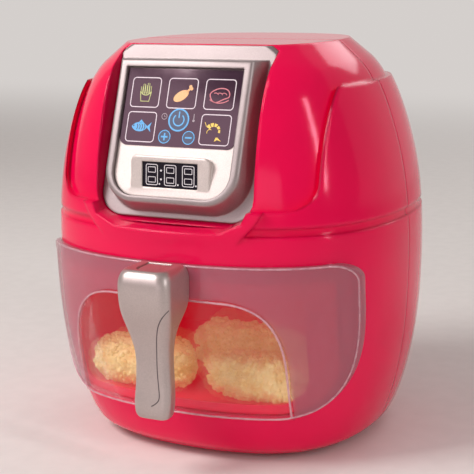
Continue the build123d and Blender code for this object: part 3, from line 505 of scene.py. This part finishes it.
def smooth_copy(node):
    """A merged copy of a curved CAD piece, smooth across its patches and crisp at its edges."""
    mesh = frame["nodes"][node].data.copy()
    mesh.name = node + "_smooth"
    if mesh.has_custom_normals:
        mesh.attributes.remove(mesh.attributes["custom_normal"])
    shape = bmesh.new()
    shape.from_mesh(mesh)
    bmesh.ops.remove_doubles(shape, verts=shape.verts, dist=WELD_DISTANCE)
    for face in shape.faces:
        face.smooth = True
    for edge in shape.edges:
        edge.smooth = not (edge.is_manifold and edge.calc_face_angle(0.0) > SHARP_EDGE)
    shape.to_mesh(mesh)
    shape.free()
    piece = new_piece(node + "_smooth", mesh, finish_of[node], body_of[node])
    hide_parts(node)
    return piece


CURVED_NODES = ("front_shell", "rear_shell", "battery_door", "panel_bezel", "drawer_front")
CURVED_NODES += HANDLE_NODES + ("display_plate", "drawer_basket", "drawer_bay")
for node in CURVED_NODES:
    smooth_copy(node)

# The spring under the thumb button, as a merged copy with a mesh of its own
spring = smooth_copy("button_spring")
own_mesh(spring)


# Printed marks on the panel: flat ribbons and filled shapes, gathered by colour
class Print:
    """Flat shapes on a plane, in millimetres, that become one thin mesh."""

    def __init__(self, origin, up, out):
        self.origin, self.up, self.out = origin, up, out
        self.shape = bmesh.new()

    def at(self, u, v):
        return self.origin + (Vector((u, 0, 0)) + self.up * v + self.out * PRINT_LIFT) * MM

    def fill(self, points):
        self.shape.faces.new([self.shape.verts.new(self.at(u, v)) for u, v in points])

    def ribbon(self, points, width, closed=False):
        """A line of even width through the points."""
        count = len(points)
        sides = []
        for index in range(count):
            before = points[index - 1] if closed or index else points[index]
            after = points[(index + 1) % count] if closed or index + 1 < count else points[index]
            along = (after[0] - before[0], after[1] - before[1])
            size = hypot(*along) or 1.0
            across = (-along[1] / size * width / 2, along[0] / size * width / 2)
            u, v = points[index]
            sides.append(
                (
                    self.shape.verts.new(self.at(u + across[0], v + across[1])),
                    self.shape.verts.new(self.at(u - across[0], v - across[1])),
                )
            )
        last = count if closed else count - 1
        for index in range(last):
            a, b = sides[index], sides[(index + 1) % count]
            self.shape.faces.new((a[0], a[1], b[1], b[0]))

    def piece(self, name, material, slot="film"):
        bmesh.ops.triangulate(self.shape, faces=self.shape.faces[:])
        for face in self.shape.faces:
            face.normal_update()
            if face.normal.dot(self.out) < 0:
                face.normal_flip()
        mesh = bpy.data.meshes.new(name)
        self.shape.to_mesh(mesh)
        self.shape.free()
        return new_piece(name, mesh, material, "housing")


def arc(u, v, radius, start, end, steps=24, squeeze=1.0):
    """Points along an arc, in degrees anticlockwise from the right."""
    return [
        (
            u + radius * cos(radians(start + (end - start) * step / steps)),
            v + squeeze * radius * sin(radians(start + (end - start) * step / steps)),
        )
        for step in range(steps + 1)
    ]


def ring(u, v, radius, steps=32):
    return arc(u, v, radius, 0, 360, steps)[:-1]


def turns(count):
    """Angles once round, in radians."""
    return [2 * pi * step / count for step in range(count)]


def rounded_square(u, v, half_width, half_height, corner):
    points = []
    for quarter, (x, y) in enumerate(((1, 1), (-1, 1), (-1, -1), (1, -1))):
        centre = (u + x * (half_width - corner), v + y * (half_height - corner))
        points += arc(*centre, corner, 90 * quarter, 90 * quarter + 90, 6)
    return points


panel_up = Vector((0, sin(PANEL_LEAN), cos(PANEL_LEAN)))
panel_out = Vector((0, -cos(PANEL_LEAN), sin(PANEL_LEAN)))
film_origin = PANEL_ORIGIN + panel_out * FILM_FACE * MM

squares = {
    "chips": (-COLUMNS, TOP_ROW),
    "drumstick": (0.0, TOP_ROW),
    "steak": (COLUMNS, TOP_ROW),
    "fish": (-COLUMNS, LOW_ROW),
    "prawn": (COLUMNS, LOW_ROW),
}


def film_print(lift=0.0):
    """A sheet of marks on the film, lift millimetres above the others."""
    return Print(film_origin + panel_out * lift * MM, panel_up, panel_out)


frames = film_print()
for u, v in squares.values():
    frames.ribbon(rounded_square(u, v, *SQUARE_HALF, SQUARE_CORNER), OUTLINE, closed=True)
frames.piece("square_outlines", inks["print_white"])

chips = film_print()
u, v = squares["chips"]
chips.ribbon([(u - 2.9, v + 0.4), (u - 2.1, v - 4.2), (u + 2.1, v - 4.2), (u + 2.9, v + 0.4)], 0.4)
chips.ribbon(arc(u, v + 1.8, 3.1, 207, 333, 14), 0.4)
for step, height in enumerate((2.6, 3.9, 3.2, 4.3, 2.9)):
    left = u - 2.6 + 1.1 * step
    right = left + 0.8
    chips.ribbon([(left, v - 0.6), (left - 0.1, v + height), (right, v + height), (right, v - 0.8)], 0.28)
chips.piece("chips_mark", inks["print_green"])

drumstick = film_print()
u, v = squares["drumstick"]
drumstick.fill(
    [(u - 0.5 + 3.6 * cos(a) + 0.9 * sin(a), v - 1.2 + 2.7 * sin(a) + 0.8 * cos(a)) for a in turns(36)]
)
drumstick.ribbon([(u + 2.3, v + 0.8), (u + 3.9, v + 2.4)], 1.0)
drumstick.fill(ring(u + 4.4, v + 2.3, 0.8))
drumstick.fill(ring(u + 3.8, v + 3.2, 0.8))
drumstick.piece("drumstick_mark", inks["print_peach"])

steak = film_print()
u, v = squares["steak"]
steak_edge = [
    (u + 4.9 * cos(a), v - 0.2 + (3.0 + 0.7 * sin(2 * a) + 0.3 * cos(3 * a)) * sin(a))
    for a in turns(48)
]
steak.ribbon(steak_edge, 0.5, closed=True)
for step in range(3):
    steak.ribbon(arc(u - 2.2 + 2.1 * step, v - 1.0, 1.7, 30, 120, 8), 0.35)
steak.ribbon(arc(u, v + 4.6, 8.5, 236, 304, 14), 0.45)
steak.piece("steak_mark", inks["print_rose"])

fish = film_print()
u, v = squares["fish"]
back = arc(u - 0.8, v - 3.0, 5.2, 142, 38, 16)
belly = arc(u - 0.8, v + 3.0, 5.2, 322, 218, 16)
fish.fill(back + belly[1:-1])
fish.fill([(u + 2.8, v), (u + 5.3, v + 2.3), (u + 4.6, v), (u + 5.3, v - 2.3)])
fish.fill([(u - 1.6, v + 1.9), (u - 0.2, v + 3.4), (u + 1.4, v + 1.8)])
fish.piece("fish_mark", inks["print_sky"])
fish_lines = film_print(0.04)
for step in range(4):
    fish_lines.ribbon(arc(u - 2.2 + 1.25 * step - 1.2, v, 1.7, -45, 45, 8), 0.34)
fish_lines.fill(ring(u - 3.9, v + 0.5, 0.36))
fish_lines.piece("fish_lines", finishes["film"])

prawn = film_print()
u, v = squares["prawn"]
for step in range(5):
    low, high = 150 - 34 * step, 124 - 34 * step
    outer = arc(u - 1.0, v - 0.6, 4.1 - 0.12 * step, low, high, 5, 0.95)
    inner = arc(u - 1.0, v - 0.6, 2.0 + 0.16 * step, high, low, 5, 0.95)
    prawn.fill(outer + inner)
tail = [(1.6, -3.3), (3.6, -5.0), (1.6, -4.5), (0.2, -5.3), (0.7, -3.5)]
prawn.fill([(u + across, v + along) for across, along in tail])
prawn.ribbon([(u - 4.6, v + 1.6), (u - 5.5, v + 3.4)], 0.3)
prawn.ribbon(arc(u - 2.6, v - 1.2, 1.4, 60, 200, 8), 0.3)
prawn.piece("prawn_mark", inks["print_yellow"])

blue = film_print()
blue.ribbon(ring(*POWER_AT, POWER_RING), SIGN_LINE, closed=True)
blue.ribbon(arc(*POWER_AT, 2.7, 130, 410, 28), POWER_LINE)
blue.ribbon([(POWER_AT[0], POWER_AT[1] + 0.9), (POWER_AT[0], POWER_AT[1] + 3.9)], POWER_LINE)
for upright, (u, v) in ((True, PLUS_AT), (False, MINUS_AT)):
    blue.ribbon(ring(u, v, SIGN_RING), OUTLINE, closed=True)
    blue.ribbon([(u - SIGN_HALF, v), (u + SIGN_HALF, v)], SIGN_LINE)
    if upright:
        blue.ribbon([(u, v + SIGN_HALF), (u, v + SIGN_GAP)], SIGN_LINE)
        blue.ribbon([(u, v - SIGN_GAP), (u, v - SIGN_HALF)], SIGN_LINE)
blue.piece("blue_marks", inks["print_sky"])
for name, (u, v), radius in (("power", POWER_AT, 4.6), ("plus", PLUS_AT, 2.7), ("minus", MINUS_AT, 2.7)):
    patch = film_print(-0.03)
    patch.fill(ring(u, v, radius))
    patch.piece(name + "_patch", inks["print_night"])

small = film_print()
small.ribbon(ring(-7.6, 45.6, 1.35), 0.28, closed=True)
small.ribbon([(-7.6, 46.4), (-7.6, 45.6), (-7.0, 45.3)], 0.25)
small.ribbon([(7.6, 47.2), (7.6, 44.5)], OUTLINE)
small.fill(ring(7.6, 44.1, 0.6))
small.piece("small_marks", inks["print_grey"])

# Three seven-segment figures on the lens, drawn as outlines
hood_rise = panel_up * (HOOD_HIGH[0] - HOOD_LOW[0]) + panel_out * (HOOD_HIGH[1] - HOOD_LOW[1])
lens_up = hood_rise.normalized()
lens_out = Vector((1, 0, 0)).cross(lens_up)
lens_start = PANEL_ORIGIN + (panel_up * HOOD_LOW[0] + panel_out * (HOOD_LOW[1] - LENS_SINK)) * MM
digits = Print(lens_start, lens_up, lens_out)
for middle in DIGIT_MIDDLES:
    half = DIGIT_LOW + DIGIT_TALL / 2
    for low in (DIGIT_LOW, half):
        high = low + DIGIT_TALL / 2
        hole = rounded_square(middle, (low + high) / 2, DIGIT_HALF - STROKE, (high - low) / 2 - STROKE, 0.3)
        digits.ribbon(hole, 0.3, closed=True)
    digits.ribbon(rounded_square(middle, half, DIGIT_HALF, DIGIT_TALL / 2 + 0.1, 0.8), 0.34, closed=True)
    digits.fill(ring(middle + DIGIT_HALF + 1.0, DIGIT_LOW + 0.4, 0.42, 12))
for height in COLON_HEIGHTS:
    digits.fill(ring((DIGIT_MIDDLES[0] + DIGIT_MIDDLES[1]) / 2, height, 0.48, 12))
digits.piece("digit_outlines", inks["digit"], slot="lens")


# Rims and seams that follow a path over a surface
bead = Shaper("bead_along_path", {"Radius": "NodeSocketFloat", "Sides": "NodeSocketInt"})
bead_path = bead.node("GeometryNodeMeshToCurve", None, {"Mesh": bead.given("Geometry")})
bead_round = bead.node(
    "GeometryNodeCurvePrimitiveCircle",
    None,
    {"Radius": bead.given("Radius"), "Resolution": bead.given("Sides")},
)
bead_tube = bead.node(
    "GeometryNodeCurveToMesh", None, {"Curve": bead_path, "Profile Curve": bead_round, "Fill Caps": True}
)
bead.finish(bead_tube, finishes["silver"])


def surface_of(*nodes):
    """What finds the places on some CAD nodes, in metres."""
    shape = bmesh.new()
    for node in nodes:
        shape.from_mesh(frame["nodes"][node].data)
    tree = BVHTree.FromBMesh(shape)
    shape.free()
    return tree


def beaded(name, places, carrier, material, body, radius, closed=False, sink=0.0):
    """A thin bead over the carrier's front, through places seen from the front in millimetres."""
    points = []
    for x, z in places:
        spot, normal, _, _ = carrier.ray_cast(Vector((x, RAY_START, z)) * MM, Vector((0, 1, 0)))
        if spot is not None:
            points.append(spot - normal * sink * MM)
    path = bpy.data.meshes.new(name + "_path")
    edges = [(index, index + 1) for index in range(len(points) - 1)]
    if closed:
        edges.append((len(points) - 1, 0))
    path.from_pydata(points, edges, [])
    mesh = bead.run(name, path, {"Radius": radius * MM, "Sides": BEAD_SIDES})
    for face in mesh.polygons:
        face.use_smooth = True
    return new_piece(name, mesh, material, body)


def bezier(a, b, c, d, steps=20):
    points = []
    for step in range(steps + 1):
        t = step / steps
        weights = ((1 - t) ** 3, 3 * t * (1 - t) ** 2, 3 * t * t * (1 - t), t**3)
        points.append(tuple(sum(w * p[axis] for w, p in zip(weights, (a, b, c, d))) for axis in (0, 1)))
    return points


# Pale beads along the window's edge and the front's border, painted highlights on their rounded rims
drawer_skin = surface_of("drawer_front")
pane_inset = PANE_HALF - EDGE_INSET
arch = bezier(
    (PANE_TOP_HALF, PANE_HIGH - EDGE_INSET),
    (PANE_PULL, PANE_HIGH - EDGE_INSET),
    (pane_inset, PANE_SHOULDER),
    (pane_inset, PANE_SIDE_LOW),
)
arch += [(pane_inset, PANE_SIDE_LOW - step) for step in range(2, 21, 2)]
arch = [(-x, z) for x, z in reversed(arch)] + arch
beaded("pane_rim", arch, drawer_skin, finishes["rim"], "drawer", PANE_BEAD)

border_half, border_high = FRONT_HALF - EDGE_INSET, FRONT_HIGH - EDGE_INSET
border = arc(border_half - FRONT_CORNER, border_high - FRONT_CORNER, FRONT_CORNER, 90, 0, 10)
border += bezier(
    (border_half, FRONT_SIDE_LOW),
    (border_half, FRONT_SIDE_PULL),
    (FRONT_LOW_PULL, FRONT_LOW + EDGE_INSET),
    (FRONT_FLAT_HALF, FRONT_LOW + EDGE_INSET),
    28,
)
half_steps = range(RIM_STEP, int(FRONT_FLAT_HALF), RIM_STEP)
border = [(x, border_high) for x in range(0, int(border_half - FRONT_CORNER), RIM_STEP)] + border
border += [(x, FRONT_LOW + EDGE_INSET) for x in reversed(half_steps)] + [(0, FRONT_LOW + EDGE_INSET)]
border += [(-x, z) for x, z in reversed(border[1:-1])]
beaded("front_rim", border, drawer_skin, finishes["rim"], "drawer", FRONT_BEAD, closed=True)


def smoothed(places):
    """The places with their corners cut, over and over."""
    for _ in range(CORNER_CUTS):
        cut = [places[0]]
        for (x0, y0), (x1, y1) in zip(places, places[1:]):
            for near, far in ((0.75, 0.25), (0.25, 0.75)):
                cut.append((near * x0 + far * x1, near * y0 + far * y1))
        places = cut + [places[-1]]
    return places


handle_skin = surface_of("handle_front", "handle_rear")
seam = smoothed(HANDLE_SEAM)
beaded("handle_seam", seam, handle_skin, finishes["seam"], "drawer", SEAM_BEAD, sink=SEAM_SINK)


# Play food: a lumpy form in each CAD lump's place, with crumbs all over it
crumbed = Shaper(
    "crumbs_on_lump",
    {"Crumb radius": "NodeSocketFloat", "Crumbs per area": "NodeSocketFloat", "Seed": "NodeSocketInt"},
)
scatter = {
    "Mesh": crumbed.given("Geometry"),
    "Density": crumbed.given("Crumbs per area"),
    "Seed": crumbed.given("Seed"),
}
crumb_places = crumbed.node("GeometryNodeDistributePointsOnFaces", None, scatter)
crumb_ball = crumbed.node(
    "GeometryNodeMeshIcoSphere", None, {"Radius": crumbed.given("Crumb radius"), "Subdivisions": 2}
)
crumb_range = {2: SMALLEST_CRUMB, 3: LARGEST_CRUMB, "Seed": crumbed.given("Seed")}
crumb_size = crumbed.node("FunctionNodeRandomValue", {"data_type": "FLOAT"}, crumb_range, out=1)
crumb_parts = {"Points": crumb_places, "Instance": crumb_ball, "Scale": crumb_size}
crumb_set = crumbed.node("GeometryNodeInstanceOnPoints", None, crumb_parts)
lump_and_crumbs = {"Geometry": [crumb_set, crumbed.given("Geometry")]}
crumbed.finish(crumbed.node("GeometryNodeJoinGeometry", None, lump_and_crumbs), finishes["food"])


def swelling(way, shift, noises):
    """How far the noises push a lump's surface out in one direction."""
    (coarse, far), (fine, near) = noises
    return noise.noise(way * coarse + shift) * far + noise.noise(way * fine + shift) * near


def nugget(node, seed):
    """A lump as large as its CAD solid, swollen and pitted by noise, then crumbed."""
    low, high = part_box(node)
    low, high = Vector(low), Vector(high)
    centre, half = (low + high) / 2, (high - low) / 2
    shape = bmesh.new()
    bmesh.ops.create_icosphere(shape, subdivisions=6, radius=1.0)
    shift = Vector((seed * 3.1, seed * 1.7, seed * 2.3))
    for vertex in shape.verts:
        way = vertex.co.normalized()
        size = LUMP_SIZE + swelling(way, shift, LUMPS) + swelling(way, shift, KNOBS)
        square = 1.0 + LUMP_SQUARENESS * (abs(way.x) * abs(way.z)) * 4
        vertex.co = centre + Vector((way.x * half.x, way.y * half.y, way.z * half.z)) * size * square
        vertex.co.z = max(vertex.co.z, low.z)
    mesh = bpy.data.meshes.new(node + "_lump")
    shape.to_mesh(mesh)
    shape.free()
    crumb_values = {"Crumb radius": CRUMB_RADIUS, "Crumbs per area": CRUMBS_PER_AREA, "Seed": seed}
    made = crumbed.run(node + "_crumbed", mesh, crumb_values)
    for face in made.polygons:
        face.use_smooth = True
    piece = new_piece(node + "_crumbed", made, finishes["food"], "drawer")
    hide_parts(node)


for seed, node in enumerate(("play_food_left", "play_food_middle", "play_food_right"), 1):
    nugget(node, seed)


# Floor, light and camera
FLOOR_FRONT, FLOOR_BACK, SWEEP_RADIUS, PAPER_HEIGHT, PAPER_HALF = -4.0, 1.6, 0.6, 4.0, 6.0
PAPER_STARTS, PAPER_FULL = 0.5, 1.6
WORLD_COLOUR, WORLD_STRENGTH = (0.86, 0.79, 0.76, 1), 0.36
CAMERA_PLACE, CAMERA_TARGET, CAMERA_ROLL = Vector((0.279, -0.563, 0.230)), Vector((0, 0, 0.0962)), -0.019
FOCAL_LENGTH, CAMERA_SHIFT = 96.5, (-0.0123, -0.0131)


def soft_light(name, place, target, size, power, colour=(1, 1, 1)):
    lamp = bpy.data.lights.new(name, "AREA")
    lamp.shape, lamp.size, lamp.size_y = "RECTANGLE", size[0], size[1]
    lamp.energy, lamp.color = power, colour
    holder = bpy.data.objects.new(name, lamp)
    holder.location = place
    holder.rotation_euler = (Vector(target) - Vector(place)).to_track_quat("-Z", "Y").to_euler()
    bpy.context.scene.collection.objects.link(holder)


def backdrop():
    """A floor that sweeps up behind the fryer and shows as pale paper to the eye and in gloss."""
    paint = Paint("pale_paper")
    seen = paint.node("ShaderNodeLightPath", out=0)
    glossy = paint.node("ShaderNodeLightPath", out=3)
    through = paint.node("ShaderNodeLightPath", out=6)
    grain = paint.noise(0.01, 4)
    dim = darker(PALETTE["floor"], 0.97)
    paper = paint.surface(
        Base_Color=paint.mix(grain.smooth(0.3, 0.7), PALETTE["floor"], dim), Roughness=0.75 + 0.1 * grain
    )
    far = paint.node("ShaderNodeSeparateXYZ", None, {"Vector": paint.place()}, out=1)
    far = far.smooth(PAPER_STARTS, PAPER_FULL)
    pale = paint.node("ShaderNodeEmission", None, {"Color": PALETTE["paper"], "Strength": 1.0})
    shown = (seen + glossy + through) * far
    shader = paint.node("ShaderNodeMixShader", None, {0: shown.at_most(1.0), 1: paper, 2: pale})
    profile = [(FLOOR_FRONT, 0.0), (FLOOR_BACK, 0.0)]
    for angle in range(10, 91, 10):
        sweep = (sin(radians(angle)), 1 - cos(radians(angle)))
        profile.append((FLOOR_BACK + SWEEP_RADIUS * sweep[0], SWEEP_RADIUS * sweep[1]))
    profile.append((FLOOR_BACK + SWEEP_RADIUS, PAPER_HEIGHT))
    shape = bmesh.new()
    rows = [[shape.verts.new((x, y, z)) for x in (-PAPER_HALF, PAPER_HALF)] for y, z in profile]
    for low, high in zip(rows, rows[1:]):
        face = shape.faces.new((low[0], low[1], high[1], high[0]))
        face.smooth = True
    mesh = bpy.data.meshes.new("backdrop")
    shape.to_mesh(mesh)
    shape.free()
    mesh.materials.append(paint.finish(shader))
    paper_sheet = bpy.data.objects.new("backdrop", mesh)
    bpy.context.scene.collection.objects.link(paper_sheet)


def world():
    studio = bpy.data.worlds.new("studio")
    studio.use_nodes = True
    light = studio.node_tree.nodes["Background"]
    light.inputs["Color"].default_value = WORLD_COLOUR
    light.inputs["Strength"].default_value = WORLD_STRENGTH
    bpy.context.scene.world = studio


def camera():
    """The photograph's viewpoint."""
    look = (CAMERA_TARGET - CAMERA_PLACE).normalized()
    right = look.cross(Vector((0, 0, 1))).normalized()
    above = right.cross(look)
    tilted = right * cos(CAMERA_ROLL) + above * sin(CAMERA_ROLL)
    upward = above * cos(CAMERA_ROLL) - right * sin(CAMERA_ROLL)
    lens = bpy.data.cameras.new("camera")
    lens.sensor_width, lens.lens = 36.0, FOCAL_LENGTH
    lens.shift_x, lens.shift_y = CAMERA_SHIFT
    lens.clip_start = 0.01
    holder = bpy.data.objects.new("camera", lens)
    turn = Matrix((tilted, upward, -look)).transposed().to_4x4()
    holder.matrix_world = Matrix.Translation(CAMERA_PLACE) @ turn
    bpy.context.scene.collection.objects.link(holder)
    bpy.context.scene.camera = holder


backdrop()
world()
camera()
soft_light("key", (-0.62, -0.62, 0.95), (0, 0, 0.1), (0.50, 0.50), 9.8, (1, 0.97, 0.95))
soft_light("front_fill", (-0.44, -0.86, 0.50), (0, 0, 0.14), (0.62, 0.33), 1.3, (1, 0.88, 0.93))
soft_light("low_fill", (0.25, -1.2, 0.22), (0, 0, 0.08), (0.9, 0.25), 1.1, (1, 0.9, 0.92))
soft_light("right_fill", (0.9, -0.3, 0.5), (0, 0, 0.1), (0.07, 0.6), 2.2)
soft_light("back_rim", (0.2, 0.9, 0.8), (0, 0, 0.12), (0.6, 0.4), 2.0)
bpy.context.scene.view_settings.view_transform = "Standard"
